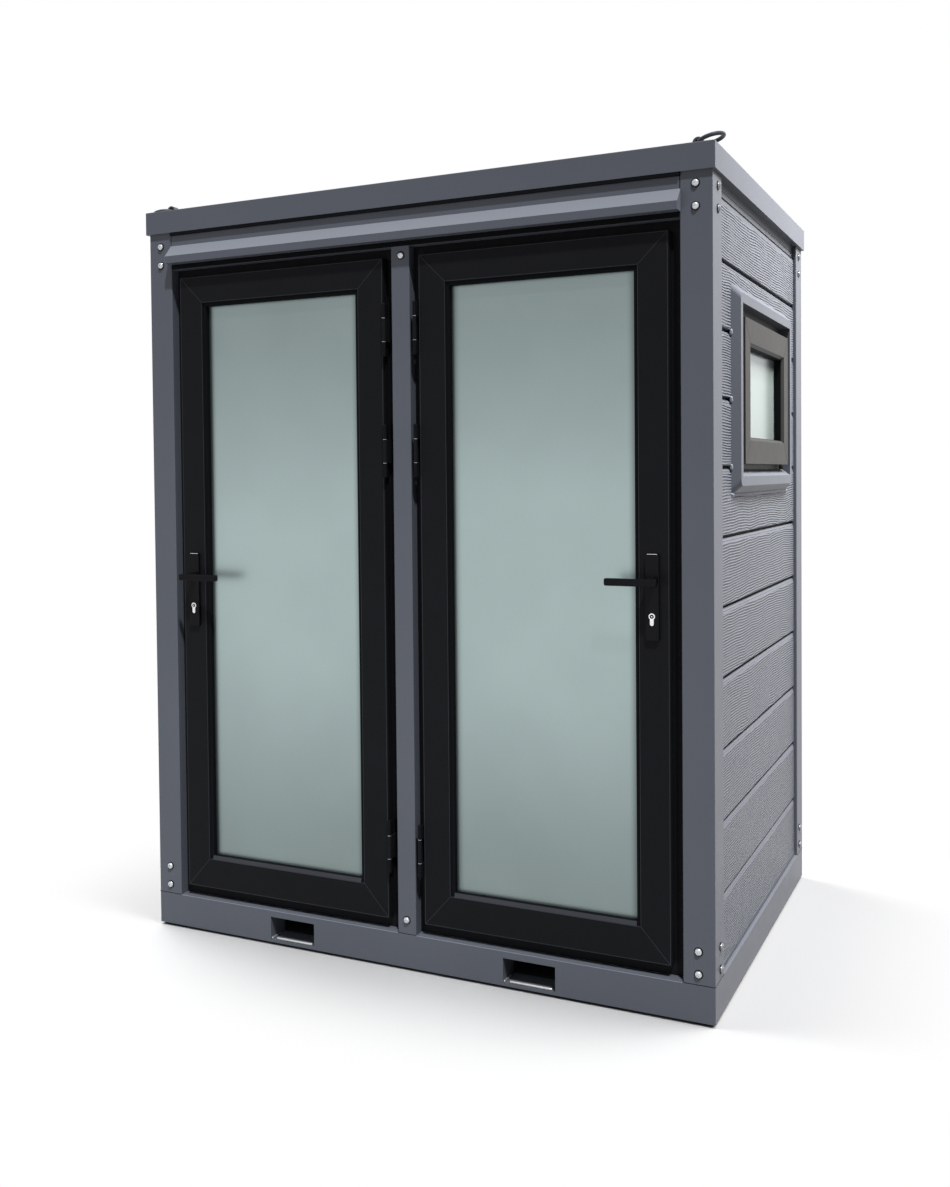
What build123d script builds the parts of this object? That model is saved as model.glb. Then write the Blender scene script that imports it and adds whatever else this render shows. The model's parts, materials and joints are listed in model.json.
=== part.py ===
"""Two-door portable restroom cabin: steel frame on a fork-pocket base, boarded walls, glazed doors.

Millimetres. X runs to the right along the front, Y to the back, Z up.
The origin is the middle of the base's underside, on the ground.
"""

import os
from math import asin, atan2, cos, degrees, radians, sin

from build123d import *

# Overall frame
cabin_width = 1804
cabin_depth = 1340
roof_top = 2300
roof_height = 71
roof_overhang = 9
sheet_radius = 3

# Base
pan_thickness = 8
pan_setback = 10
base_top = 108
beam_width = 80
pocket_width = 156
pocket_height = 70
pocket_bottom = 17
pocket_wall = 4
pocket_spacing = 778
pocket_shift = -8

# Posts and beams
post_width = 85
post_depth = 103
mullion_width = 59
lintel_height = 116
lintel_depth = 99
rail_height = 47
rail_recess = 15
canopy_drop = 42
canopy_fall = 37
canopy_lip = 22
canopy_reach = 33
canopy_lap = 2
ceiling_thickness = 20

# Walls and windows
wall_recess = 10
wall_thickness = 60
window_width = 733
window_height = 483
window_drop = 501
trim_flat = 27
trim_bevel = 24
trim_front = 13
trim_corner_radius = 20
window_frame_face = 35
window_frame_recess = 22
window_sash_face = 75
window_sash_front = 12
window_sash_thickness = 40
window_pane_recess = 30
window_pane_thickness = 12
bead_size = 8

# Door frames and doors
door_frame_setback = 34
door_frame_face = 44
door_frame_depth = 60
sash_gap = 28
sash_gap_lock = 30
sash_gap_bottom = 36
sash_face = 84
sash_foot = 94
sash_setback = 0
sash_clearance = 5
sash_inset = 33
sash_depth = 72
sash_edge_radius = 3
pane_recess = 22
pane_thickness = 24

# Hinges
hinge_axis_x = 50
hinge_axis_setback = -10
hinge_low_rise = 217
hinge_middle_drop = 563
hinge_high_drop = 211
knuckle_radius = 6
hinge_length = 150
middle_knuckle = 68
knuckle_gap = 1
hinge_pin_radius = 3
hinge_pin_clearance = 0.3
hinge_leaf_thickness = 5
hinge_leaf_inset = 1
hinge_tab_depth = 26

# Handles
handle_inset = 46
plate_width = 36
plate_height = 230
plate_thickness = 10
plate_radius = 4
plate_edge = 1.5
plate_rise_left = 989
plate_rise_right = 1015
lever_rise = 42
lever_length = 117
lever_heel = 24
lever_height = 20
lever_thickness = 13
lever_standoff = 36
lever_hub_radius = 13
lever_hub_gap = 0.4
lever_edge_radius = 3
lever_end_radius = 5
spindle_radius = 4
spindle_hole_radius = 7
cylinder_drop = 50
cylinder_radius = 8.5
cylinder_stem_width = 10
cylinder_height = 33
cylinder_proud = 3
cylinder_clearance = 0.3

# Lifting rings
ring_pivot_inset = 49
ring_pivot_setback = 60
ring_radius = 33
ring_bar_radius = 5.5
ring_floor_gap = 0.3
ring_tilts = {"front_left": 0, "front_right": 20, "rear_left": 0, "rear_right": 0}
ring_leans = {"front": 1, "rear": -1}
saddle_bore = 8.5
saddle_strap = 6
saddle_width = 24
saddle_plate_thickness = 4
saddle_plate_length = 40
saddle_plate_width = 36

# Places worked out from the sizes above
half_width = cabin_width / 2
half_depth = cabin_depth / 2
front = -half_depth
roof_bottom = roof_top - roof_height
lintel_bottom = roof_bottom - lintel_height
rail_bottom = roof_bottom - rail_height
canopy_top = roof_bottom - canopy_drop
canopy_tip = canopy_top - canopy_fall
canopy_bottom = canopy_tip - canopy_lip
window_centre_height = rail_bottom - window_drop
inner_post_x = half_width - post_width
inner_post_y = half_depth - post_depth
inner_beam_x = half_width - beam_width
inner_beam_y = half_depth - beam_width
mullion_half = mullion_width / 2
wall_face_x = half_width - wall_recess
wall_face_y = half_depth - wall_recess
wall_inner_x = wall_face_x - wall_thickness
wall_inner_y = wall_face_y - wall_thickness
rail_face_x = half_width - rail_recess
rail_face_y = half_depth - rail_recess
floor_bottom = pocket_bottom + pocket_height + pocket_wall
door_frame_front = front + door_frame_setback
sash_front = front + sash_setback
sash_flange = door_frame_setback - sash_clearance - sash_setback
sash_back = sash_front + sash_depth
hinge_axis_y = front + hinge_axis_setback
bay_inner = mullion_half
bay_outer = inner_post_x
sash_hinge_x = bay_inner + sash_gap
sash_lock_x = bay_outer - sash_gap_lock
sash_bottom = base_top + sash_gap_bottom
sash_top = lintel_bottom - sash_gap
bead_slope = degrees(atan2(bead_size, pane_recess))
hinge_heights = (
    sash_bottom + hinge_low_rise,
    sash_top - hinge_middle_drop,
    sash_top - hinge_high_drop,
)
ring_pivot_height = roof_top + saddle_plate_thickness + saddle_bore
ring_pivot_x = half_width - ring_pivot_inset
ring_pivot_y = half_depth - ring_pivot_setback
ring_lying_tilt = -degrees(
    asin((ring_pivot_height - roof_top - ring_bar_radius - ring_floor_gap) / (2 * ring_radius))
)


def save(piece, name):
    """Label a finished piece and write its file."""
    piece.part.label = name
    export_step(piece.part, f"parts/{name}.step")


def facing_front(y):
    """Plane at depth y that looks out of the front: local x is X, local y is Z."""
    return Plane(origin=(0, y, 0), x_dir=(1, 0, 0), z_dir=(0, -1, 0))


def facing_right(x):
    """Plane at x that looks out of the right side: local x is Y, local y is Z."""
    return Plane.YZ.offset(x)


def rectangle_between(a, b):
    """Rectangle between two opposite corners of the current sketch plane."""
    with Locations(((a[0] + b[0]) / 2, (a[1] + b[1]) / 2)):
        Rectangle(abs(b[0] - a[0]), abs(b[1] - a[1]))


def block(x_span, y_span, z_span):
    """Plain rectangular piece between two corners."""
    with BuildPart() as piece:
        with BuildSketch(Plane.XY.offset(z_span[0])):
            rectangle_between((x_span[0], y_span[0]), (x_span[1], y_span[1]))
        extrude(amount=z_span[1] - z_span[0])
    return piece


def make_base():
    """Underfloor plate, ring of base beams, fork pocket tubes and floor."""
    pan_x = half_width - pan_setback
    pan_y = half_depth - pan_setback
    save(block((-pan_x, pan_x), (-pan_y, pan_y), (0, pan_thickness)), "base_pan")

    for name, side in (("front", -1), ("rear", 1)):
        with BuildPart() as beam:
            with BuildSketch(Plane.XY.offset(pan_thickness)):
                rectangle_between((-half_width, side * inner_beam_y), (half_width, side * half_depth))
            extrude(amount=base_top - pan_thickness)
            with BuildSketch(facing_front(-half_depth)):
                with Locations((pocket_shift, pocket_bottom + pocket_height / 2)):
                    with GridLocations(pocket_spacing, 0, 2, 1):
                        Rectangle(pocket_width, pocket_height)
            extrude(amount=-cabin_depth, mode=Mode.SUBTRACT)
            end_rims = beam.faces().sort_by(Axis.Z)[-1].edges().filter_by(Axis.Y)
            outer_face = beam.faces().sort_by(Axis.Y)[0 if side < 0 else -1]
            fillet(end_rims + outer_face.outer_wire().edges().sort_by(Axis.Z)[1:], radius=sheet_radius)
        save(beam, f"base_{name}_beam")

    for name, side in (("left", -1), ("right", 1)):
        with BuildPart() as beam:
            with BuildSketch(Plane.XY.offset(pan_thickness)):
                rectangle_between((side * inner_beam_x, -inner_beam_y), (side * half_width, inner_beam_y))
            extrude(amount=base_top - pan_thickness)
            top_rims = beam.faces().sort_by(Axis.Z)[-1].edges().sort_by(Axis.X)
            fillet(top_rims[-1] if side > 0 else top_rims[0], radius=sheet_radius)
        save(beam, f"base_{name}_beam")

    with BuildPart() as pockets:
        with BuildSketch(facing_front(-inner_beam_y)):
            with Locations((pocket_shift, pocket_bottom + pocket_height / 2)):
                with GridLocations(pocket_spacing, 0, 2, 1):
                    Rectangle(pocket_width + 2 * pocket_wall, pocket_height + 2 * pocket_wall)
                    Rectangle(pocket_width, pocket_height, mode=Mode.SUBTRACT)
        extrude(amount=-2 * inner_beam_y)
    save(pockets, "fork_pockets")

    floor = block(
        (-inner_beam_x, inner_beam_x), (-inner_beam_y, inner_beam_y), (floor_bottom, base_top)
    )
    save(floor, "floor_panel")


def make_posts():
    """Corner posts with folded edges, and the middle post between the doors."""
    for depth_name, y_side in (("front", -1), ("rear", 1)):
        for width_name, x_side in (("left", -1), ("right", 1)):
            with BuildPart() as post:
                with BuildSketch(Plane.XY.offset(base_top)):
                    rectangle_between(
                        (x_side * inner_post_x, y_side * inner_post_y),
                        (x_side * half_width, y_side * half_depth),
                    )
                extrude(amount=roof_bottom - base_top)
                fillet(post.edges().filter_by(Axis.Z), radius=sheet_radius)
            save(post, f"{depth_name}_{width_name}_post")

    with BuildPart() as mullion:
        with BuildSketch(Plane.XY.offset(base_top)):
            rectangle_between((-mullion_half, front), (mullion_half, front + lintel_depth))
        extrude(amount=lintel_bottom - base_top)
        fillet(mullion.edges().filter_by(Axis.Z).group_by(Axis.Y)[0], radius=sheet_radius)
    save(mullion, "middle_post")


def make_top():
    """Lintel, rain canopy, top rails, ceiling and roof cap."""
    lintel = block(
        (-inner_post_x, inner_post_x), (front, front + lintel_depth), (lintel_bottom, roof_bottom)
    )
    save(lintel, "front_lintel")

    canopy_half = inner_post_x + canopy_lap
    with BuildPart() as canopy:
        with BuildSketch(facing_right(-canopy_half)):
            with BuildLine():
                Polyline(
                    (front, canopy_top),
                    (front - canopy_reach, canopy_tip),
                    (front - canopy_reach, canopy_bottom),
                    (front, canopy_bottom),
                    close=True,
                )
            make_face()
        extrude(amount=2 * canopy_half)
    save(canopy, "rain_canopy")

    with BuildPart() as rails:
        with BuildSketch(Plane.XY.offset(rail_bottom)):
            for side in (-1, 1):
                rectangle_between((side * rail_face_x, -inner_post_y), (side * inner_post_x, inner_post_y))
            rectangle_between((-inner_post_x, rail_face_y), (inner_post_x, wall_inner_y))
        extrude(amount=roof_bottom - rail_bottom)
    save(rails, "top_rails")

    ceiling = block(
        (-inner_post_x, inner_post_x),
        (front + lintel_depth, wall_inner_y),
        (roof_bottom - ceiling_thickness, roof_bottom),
    )
    save(ceiling, "ceiling_panel")

    with BuildPart() as roof:
        with BuildSketch(Plane.XY.offset(roof_bottom)):
            Rectangle(cabin_width + 2 * roof_overhang, cabin_depth + 2 * roof_overhang)
        extrude(amount=roof_height)
        fillet(roof.edges().filter_by(Axis.Z), radius=sheet_radius)
        fillet(roof.faces().sort_by(Axis.Z)[-1].edges(), radius=sheet_radius)
    save(roof, "roof_cap")


def make_walls():
    """Insulated wall panels between the posts, the side ones cut through for the windows."""
    for name, side in (("left", -1), ("right", 1)):
        with BuildPart() as wall:
            with BuildSketch(Plane.XY.offset(base_top)):
                rectangle_between(
                    (side * wall_inner_x, -inner_post_y),
                    (side * wall_face_x, inner_post_y),
                )
            extrude(amount=rail_bottom - base_top)
            with BuildSketch(facing_right(-half_width)):
                with Locations((0, window_centre_height)):
                    Rectangle(window_width, window_height)
            extrude(amount=cabin_width, mode=Mode.SUBTRACT)
        save(wall, f"{name}_wall")

    rear = block(
        (-inner_post_x, inner_post_x),
        (wall_inner_y, wall_face_y),
        (base_top, rail_bottom),
    )
    save(rear, "rear_wall")


def window_rectangle(grow):
    """Window outline in a side plane, grown all round by a given amount."""
    with Locations((0, window_centre_height)):
        Rectangle(window_width + 2 * grow, window_height + 2 * grow)


def trim_rectangle(grow):
    """Outline of the window trim in a side plane, with its pressed corners."""
    with Locations((0, window_centre_height)):
        RectangleRounded(window_width + 2 * grow, window_height + 2 * grow, trim_corner_radius)


def make_windows():
    """Bevelled trim on the wall, frame with its fixed sash, and the frosted pane."""
    for name, side in (("left", -1), ("right", 1)):
        trim_height = wall_recess + trim_front
        flat_x = side * (half_width + trim_front)
        with BuildPart() as trim:
            with BuildSketch(facing_right(side * wall_face_x)):
                trim_rectangle(trim_flat + trim_bevel)
            with BuildSketch(facing_right(flat_x)):
                trim_rectangle(trim_flat)
            loft()
            with BuildSketch(facing_right(side * wall_face_x)):
                window_rectangle(0)
            extrude(amount=side * trim_height, mode=Mode.SUBTRACT)
        save(trim, f"{name}_window_trim")

        frame_x = side * (half_width - window_frame_recess)
        inner_x = side * wall_inner_x
        sash_x = side * (half_width + window_sash_front)
        sash_grow = -window_frame_face
        with BuildPart() as frame:
            with BuildSketch(facing_right(inner_x)):
                window_rectangle(0)
            extrude(amount=frame_x - inner_x)
            with BuildSketch(facing_right(sash_x - side * window_sash_thickness)):
                window_rectangle(sash_grow)
            extrude(amount=side * window_sash_thickness)
            with BuildSketch(facing_right(inner_x)):
                window_rectangle(sash_grow - window_sash_face)
            extrude(amount=sash_x - inner_x, mode=Mode.SUBTRACT)
            rim = frame.faces().sort_by(Axis.X)[-1 if side > 0 else 0]
            chamfer(rim.inner_wires()[0].edges(), length=bead_size)
        save(frame, f"{name}_window_frame")

        pane_x = sash_x - side * window_pane_recess
        with BuildPart() as pane:
            with BuildSketch(facing_right(pane_x)):
                window_rectangle(sash_grow - window_sash_face)
            extrude(amount=-side * window_pane_thickness)
        save(pane, f"{name}_window_pane")


def cylinder_profile(x, z, grow):
    """Outline of a profile lock cylinder: a round barrel with a stem below it."""
    stem_radius = cylinder_stem_width / 2 + grow
    stem_end = z + cylinder_radius - cylinder_height + cylinder_stem_width / 2
    with Locations((x, z)):
        Circle(cylinder_radius + grow)
    rectangle_between((x - stem_radius, stem_end), (x + stem_radius, z))
    with Locations((x, stem_end)):
        Circle(stem_radius)


def make_door(name, side, plate_rise):
    """One door set. The door hangs beside the middle post and its lock is at the corner post."""
    plate_centre = base_top + plate_rise
    axis_x = side * hinge_axis_x
    lever_z = plate_centre + lever_rise
    lock_z = plate_centre - cylinder_drop
    handle_x = side * (sash_lock_x - handle_inset)
    leaf_x = side * (hinge_axis_x - hinge_leaf_inset)
    pane_low = (side * (sash_hinge_x + sash_face + bead_size), sash_bottom + sash_foot + bead_size)
    pane_high = (side * (sash_lock_x - sash_face - bead_size), sash_top - sash_face - bead_size)

    # Fixed frame in the bay, with the middle knuckle of each hinge on a leaf
    with BuildPart() as frame:
        with BuildSketch(facing_front(door_frame_front)):
            rectangle_between((side * bay_inner, base_top), (side * bay_outer, lintel_bottom))
            inner_low = (side * (bay_inner + door_frame_face), base_top + door_frame_face)
            inner_high = (side * (bay_outer - door_frame_face), lintel_bottom - door_frame_face)
            with Locations(((inner_low[0] + inner_high[0]) / 2, (inner_low[1] + inner_high[1]) / 2)):
                Rectangle(
                    abs(inner_high[0] - inner_low[0]), inner_high[1] - inner_low[1], mode=Mode.SUBTRACT
                )
        extrude(amount=-door_frame_depth)
        for height in hinge_heights:
            with BuildSketch(Plane.XY.offset(height - middle_knuckle / 2)):
                with Locations((axis_x, hinge_axis_y)):
                    Circle(knuckle_radius)
                rectangle_between(
                    (leaf_x, hinge_axis_y), (leaf_x - side * hinge_leaf_thickness, door_frame_front)
                )
                with Locations((axis_x, hinge_axis_y)):
                    Circle(hinge_pin_radius + hinge_pin_clearance, mode=Mode.SUBTRACT)
            extrude(amount=middle_knuckle)
    save(frame, f"{name}_door_frame")

    # Sash: a flange that laps the frame and a body that stands inside it
    with BuildPart() as sash:
        with BuildSketch(facing_front(sash_front)):
            rectangle_between((side * sash_hinge_x, sash_bottom), (side * sash_lock_x, sash_top))
        extrude(amount=-sash_flange)
        with BuildSketch(facing_front(sash_front + sash_flange)):
            rectangle_between(
                (side * (sash_hinge_x + sash_inset), sash_bottom + sash_inset),
                (side * (sash_lock_x - sash_inset), sash_top - sash_inset),
            )
        extrude(amount=sash_flange - sash_depth)
        with BuildSketch(facing_front(sash_front)):
            rectangle_between(pane_low, pane_high)
        extrude(amount=-sash_depth, mode=Mode.SUBTRACT)
        with BuildSketch(facing_front(sash_front)):
            rectangle_between(
                (side * (sash_hinge_x + sash_face), sash_bottom + sash_foot),
                (side * (sash_lock_x - sash_face), sash_top - sash_face),
            )
        extrude(amount=-pane_recess, taper=bead_slope, mode=Mode.SUBTRACT)
        fillet(sash.faces().sort_by(Axis.Y)[0].outer_wire().edges(), radius=sash_edge_radius)
        with BuildSketch(facing_front(sash_front)):
            with Locations((handle_x, lever_z)):
                Circle(spindle_hole_radius)
            cylinder_profile(handle_x, lock_z, cylinder_clearance)
        extrude(amount=-sash_depth, mode=Mode.SUBTRACT)
    save(sash, f"{name}_door_sash")

    with BuildPart() as pane:
        with BuildSketch(facing_front(sash_front + pane_recess)):
            rectangle_between(pane_low, pane_high)
        extrude(amount=-pane_thickness)
    save(pane, f"{name}_door_pane")

    # Door side of each hinge: upper and lower knuckles on one pin, with tabs to the sash edge
    outer_knuckle = (hinge_length - middle_knuckle) / 2 - knuckle_gap
    with BuildPart() as hinges:
        for height in hinge_heights:
            hinge_bottom = height - hinge_length / 2
            with BuildSketch(Plane.XY.offset(hinge_bottom)):
                with Locations((axis_x, hinge_axis_y)):
                    Circle(hinge_pin_radius)
            extrude(amount=hinge_length)
            for bottom in (hinge_bottom, height + hinge_length / 2 - outer_knuckle):
                with BuildSketch(Plane.XY.offset(bottom)):
                    with Locations((axis_x, hinge_axis_y)):
                        Circle(knuckle_radius)
                    rectangle_between(
                        (axis_x, hinge_axis_y), (side * sash_hinge_x, hinge_axis_y + hinge_tab_depth)
                    )
                extrude(amount=outer_knuckle)
    save(hinges, f"{name}_door_hinges")

    # Handle plates on both faces of the sash
    with BuildPart() as plates:
        for plate_front in (sash_front - plate_thickness, sash_back):
            with BuildSketch(facing_front(plate_front)):
                with Locations((handle_x, plate_centre)):
                    RectangleRounded(plate_width, plate_height, plate_radius)
                with Locations((handle_x, lever_z)):
                    Circle(spindle_hole_radius, mode=Mode.SUBTRACT)
            extrude(amount=-plate_thickness)
        with BuildSketch(facing_front(sash_front - plate_thickness)):
            cylinder_profile(handle_x, lock_z, cylinder_clearance)
        extrude(amount=-sash_depth - 2 * plate_thickness, mode=Mode.SUBTRACT)
        fillet(plates.faces().sort_by(Axis.Y)[0].outer_wire().edges(), radius=plate_edge)
        fillet(plates.faces().sort_by(Axis.Y)[-1].outer_wire().edges(), radius=plate_edge)
    save(plates, f"{name}_handle_plates")

    # Lever pair on one spindle, both arms pointing towards the hinges
    outer_face = sash_front - plate_thickness - lever_hub_gap
    inner_face = sash_back + plate_thickness + lever_hub_gap
    arm_back = sash_front - plate_thickness - lever_standoff
    inner_arm = sash_back + plate_thickness + lever_standoff
    with BuildPart() as lever:
        with BuildSketch(facing_front(outer_face)):
            with Locations((handle_x, lever_z)):
                Circle(spindle_radius)
        extrude(amount=outer_face - inner_face)
        for hub_start, hub_end in ((outer_face, arm_back), (inner_arm, inner_face)):
            with BuildSketch(facing_front(hub_start)):
                with Locations((handle_x, lever_z)):
                    Circle(lever_hub_radius)
            extrude(amount=hub_start - hub_end)
        for arm_start, heel in ((arm_back, lever_heel), (inner_arm + lever_thickness, lever_hub_radius)):
            with BuildSketch(facing_front(arm_start)):
                with Locations((handle_x + side * (heel - lever_length) / 2, lever_z)):
                    RectangleRounded(lever_length + heel, lever_height, lever_end_radius)
            extrude(amount=lever_thickness)
        fillet(lever.faces().sort_by(Axis.Y)[0].edges(), radius=lever_edge_radius)
        fillet(lever.faces().sort_by(Axis.Y)[-1].edges(), radius=lever_edge_radius)
    save(lever, f"{name}_lever")

    # Lock cylinder through sash and plates
    cylinder_front = sash_front - plate_thickness - cylinder_proud
    with BuildPart() as cylinder:
        with BuildSketch(facing_front(cylinder_front)):
            cylinder_profile(handle_x, lock_z, 0)
        extrude(amount=-sash_depth - 2 * (plate_thickness + cylinder_proud))
    save(cylinder, f"{name}_lock_cylinder")


def make_lifting_rings():
    """Arched saddles on the roof corners, and a ring of round bar lying in each."""
    arch_radius = saddle_bore + saddle_strap
    with BuildPart() as saddles:
        for y_side in (-1, 1):
            for x_side in (-1, 1):
                pivot_x = x_side * ring_pivot_x
                pivot_y = y_side * ring_pivot_y
                with BuildSketch(Plane.XY.offset(roof_top)):
                    with Locations((pivot_x, pivot_y)):
                        Rectangle(saddle_plate_length, saddle_plate_width)
                extrude(amount=saddle_plate_thickness)
                with BuildSketch(facing_front(pivot_y - saddle_width / 2)):
                    for radius, mode in ((arch_radius, Mode.ADD), (saddle_bore, Mode.SUBTRACT)):
                        with Locations((pivot_x, ring_pivot_height)):
                            Circle(radius, mode=mode)
                        with Locations((pivot_x, ring_pivot_height - saddle_bore / 2)):
                            Rectangle(2 * radius, saddle_bore, mode=mode)
                    with Locations((pivot_x, roof_top + saddle_plate_thickness - arch_radius / 2)):
                        Rectangle(2 * arch_radius, arch_radius, mode=Mode.SUBTRACT)
                extrude(amount=-saddle_width)
    save(saddles, "ring_saddles")

    for depth_name, y_side in (("front", -1), ("rear", 1)):
        for width_name, x_side in (("left", -1), ("right", 1)):
            tilt = radians(ring_lying_tilt + ring_tilts[f"{depth_name}_{width_name}"])
            lean = x_side * ring_leans[depth_name]
            reach = Vector(lean * cos(tilt), 0, sin(tilt))
            pivot = Vector(x_side * ring_pivot_x, y_side * ring_pivot_y, ring_pivot_height)
            ring_plane = Plane(
                origin=pivot + reach * ring_radius,
                x_dir=reach,
                z_dir=Vector(-lean * sin(tilt), 0, cos(tilt)),
            )
            with BuildPart(ring_plane) as ring:
                Torus(ring_radius, ring_bar_radius)
            save(ring, f"lifting_ring_{depth_name}_{width_name}")


os.makedirs("parts", exist_ok=True)
make_base()
make_posts()
make_top()
make_walls()
make_windows()
make_door("left", -1, plate_rise_left)
make_door("right", 1, plate_rise_right)
make_lifting_rings()
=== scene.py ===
"""Looks of the two-door restroom cabin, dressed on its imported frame.

Metres, in the frame of the solids: X runs to the right along the front, Y to the back, Z up.
"""

import json
import math

import bmesh
import bpy
from mathutils import Matrix, Vector


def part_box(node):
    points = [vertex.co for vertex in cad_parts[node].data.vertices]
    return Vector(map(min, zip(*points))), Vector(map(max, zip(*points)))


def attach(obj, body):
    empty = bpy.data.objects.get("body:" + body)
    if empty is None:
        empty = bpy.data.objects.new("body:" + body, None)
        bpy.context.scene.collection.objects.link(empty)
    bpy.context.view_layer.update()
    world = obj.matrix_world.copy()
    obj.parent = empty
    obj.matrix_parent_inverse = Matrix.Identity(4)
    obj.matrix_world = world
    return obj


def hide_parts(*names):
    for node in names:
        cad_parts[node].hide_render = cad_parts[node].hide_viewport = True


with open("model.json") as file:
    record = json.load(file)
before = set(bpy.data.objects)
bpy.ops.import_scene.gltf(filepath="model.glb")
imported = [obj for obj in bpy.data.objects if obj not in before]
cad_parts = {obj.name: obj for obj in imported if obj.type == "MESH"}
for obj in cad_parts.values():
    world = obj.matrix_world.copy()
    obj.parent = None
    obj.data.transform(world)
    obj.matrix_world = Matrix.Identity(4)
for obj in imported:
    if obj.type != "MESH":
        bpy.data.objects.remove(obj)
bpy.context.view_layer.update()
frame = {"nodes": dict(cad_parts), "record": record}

# Photograph's frame and the camera fitted to it
PHOTO_WIDTH = 950
PHOTO_HEIGHT = 1187
FOCAL_PIXELS = 1235.98
CENTRE_PIXEL = (417.79, 509.54)
CAMERA_PLACE = Vector((1.6425, -3.8595, 1.4519))
CAMERA_AZIMUTH = math.radians(26.542)
CAMERA_PITCH = math.radians(1.594)
CAMERA_ROLL = math.radians(-0.594)
SENSOR = 36.0

# Boards on the walls: each board is a little taller than the one above it
GROOVE_TOP = 2.021
GROOVE_PITCH = 0.183
GROOVE_GROWTH = 0.0008
GROOVE_COUNT = 10
GROOVE_GAP = 0.009
GROOVE_DEPTH = 0.012
BAND_HEIGHT = 0.014
BAND_DEPTH = 0.006
BAND_STEP_SHARES = ((0.45, 0.62), (0.30, 0.52))
BOARD_ROUND = 0.0015
BOARD_END_GAP = 0.0035
GRAIN_PITCH = 0.0076
GRAIN_SHIFT = 3.37
GRAIN_HEIGHT = 0.0014
SWIRL_REACH = 0.042
WAVE_REACH = 0.005
CUT_OVERRUN = 0.1

# Flashing under the boards, and the rib and gasket of the top rail
FLASHING_HEIGHT = 0.014
FLASHING_REACH = 0.0010
RIB_RISE = 0.024
RIB_HEIGHT = 0.003
RIB_REACH = 0.0015
RAIL_GASKET = 0.009

# Bolts on the frame: dome heads with a hexagon socket, each on a dark washer that also serves as painted
# shade round the head
BOLT_RADIUS = 0.012
BOLT_WASHER_RISE = 0.0024
BOLT_PROFILE_SHARES = (
    (1.0, 0.0), (1.0, 0.10), (0.95, 0.15), (0.82, 0.17), (0.80, 0.28), (0.74, 0.42),
    (0.62, 0.54), (0.46, 0.62), (0.33, 0.65), (0.30, 0.64), (0.28, 0.42), (0.0, 0.38),
)
BOLT_SOCKET_RING = 9
BOLT_FROM_SIDE = 0.044
BOLT_FROM_FRONT = 0.060
BOLT_RISES = (0.028, 0.088)
BOLT_DROPS = (0.032, 0.091)
LEFT_BOLT_LOWERING = 0.009
MULLION_BOLT_RISE = 0.041
MULLION_BOLT_DROP = 0.027
MULLION_BOLT_SHIFT = 0.003

# Doors: joints, seals, hinge caps and lock plugs, with painted highlights on the sashes and handle plates
# and painted shade in the plugs
MITRE_WIDTH = 0.0011
BEAD_HIGHLIGHT = 0.0012
MITRE_RISE = 0.0002
GASKET = 0.004
GASKET_CROWN_SHARES = ((0.92, 0.6), (0.7, 0.3), (0.4, 0.08))
DOOR_GASKET_RISE = 0.017
LEDGE_DROP = 0.0095
# Radius of the painted highlight glint on each handle plate's top edge, and its inset from the plate's
# ends
PLATE_GLINT = 0.0009
PLATE_EDGE_INSET = 0.004
SASH_BEAD = 0.008
SASH_EDGE = 0.003
HINGE_LENGTH = 0.150
HINGE_STEP = 0.352
HINGE_KNUCKLE = 0.034
HINGE_RADIUS = 0.006
HINGE_CAP_RISE = 0.003
WASHER_HEIGHT = 0.0008
WASHER_RADIUS = 0.0062
BARREL_RADIUS = 0.0085
PLUG_RADIUS = 0.0054
PLUG_RISE = 0.0004
PLUG_CROWN_SHARE = 0.95
KEY_FACE_RADIUS = 0.0019
KEY_FACE_RISE = 0.0008
KEY_CROWN_SHARE = 0.9
BUTTON_SIDE_SHARE = 0.7

# Joints, seals and painted shade of the frame, the canopy's lip, and sill plates in front of the doors
JOINT_WIDTH = 0.0016
CAP_SEAL_HEIGHT = 0.010
CAP_SEAL_REACH = 0.0085
CANOPY_LIP = 0.022
HEAD_SHADE_RISE = 0.0004
SILL_RISE = 0.0032
SILL_DEPTH = 0.031
SILL_CLEARANCE = 0.002
SILL_CORNER = 0.006
SILL_EDGE = 0.0025
SILL_BEVEL_SHARE = 0.3
# Height of the painted highlight along the base's front edge
SILL_HIGHLIGHT_HEIGHT = 0.0022

# Windows
WINDOW_FRAME_FACE = 0.035
WINDOW_SASH_FACE = 0.075
WINDOW_SILL_RISE = 0.019
WINDOW_SILL_DEPTH = 0.024
SEALANT_RADIUS = 0.005
LINER_THICKNESS = 0.0015
LINER_RISE = 0.020
WINDOW_SEAL_LEAN = 0.0002

# Fork pockets
POCKET_WIDTH = 0.156
POCKET_WALL = 0.004
LIP_RADIUS = 0.004
LIP_SETBACK = 0.006
LIP_INSETS = (0.018, 0.010)
CORNER_BEAD_RADIUS = 0.003
CORNER_BEAD_LENGTH = 0.05
CORNER_BEAD_SETBACK = 0.002

# Places read from the frame
post_low, post_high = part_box("front_right_post")
FRONT = post_low.y
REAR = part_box("rear_right_post")[1].y
SIDE = post_high.x
POST_INNER = post_low.x
POST_BACK = post_high.y
BASE_TOP = post_low.z
ROOF_BOTTOM = post_high.z
LINTEL_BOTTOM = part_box("front_lintel")[0].z
MULLION_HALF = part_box("middle_post")[1].x
CANOPY_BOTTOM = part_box("rain_canopy")[0].z
CANOPY_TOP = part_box("rain_canopy")[1].z
CANOPY_TIP = CANOPY_BOTTOM + CANOPY_LIP
CANOPY_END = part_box("rain_canopy")[1].x
SIDES = (("left", -1), ("right", 1))


# Helpers for shader nodes

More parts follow.
